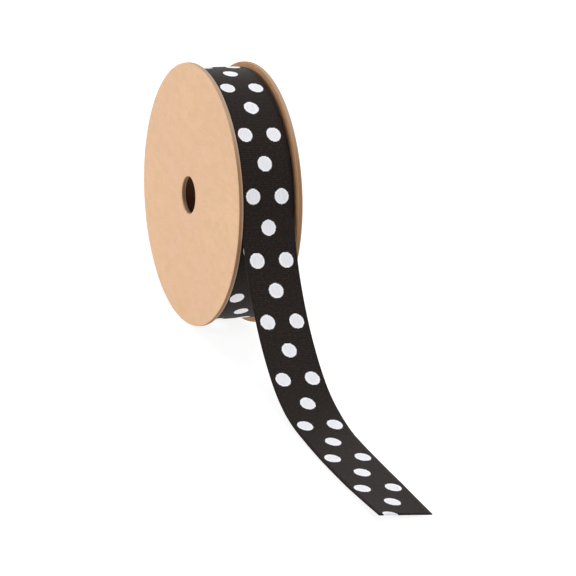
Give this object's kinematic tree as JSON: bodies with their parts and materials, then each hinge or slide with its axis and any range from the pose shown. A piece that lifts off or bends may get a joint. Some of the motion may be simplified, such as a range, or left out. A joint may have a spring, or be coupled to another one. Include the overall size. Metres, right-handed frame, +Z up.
{
  "type": "spool of ribbon",
  "caption": "Flanged card spool wound with dotted jacquard ribbon, standing on its rims with the ribbon's loose end run out on the table.",
  "frame": {"origin": "middle of the footprint, on the table", "axes": "+X along the spool's axis to the far flange, +Y from the cut end of the ribbon towards the spool, +Z up"},
  "size_m": [0.0278, 0.2466, 0.1099],
  "materials": {
    "flange_near": "matt kraft board",
    "flange_far": "matt kraft board",
    "core": "plain wound paper",
    "ribbon_roll": "woven black with white dots",
    "ribbon_tail": "woven black with white dots"
  },
  "bodies": {
    "root": {"flange_near": "flange_near", "flange_far": "flange_far", "core": "core", "ribbon_roll": "ribbon_roll", "ribbon_tail": "ribbon_tail"}
  },
  "joints": []
}
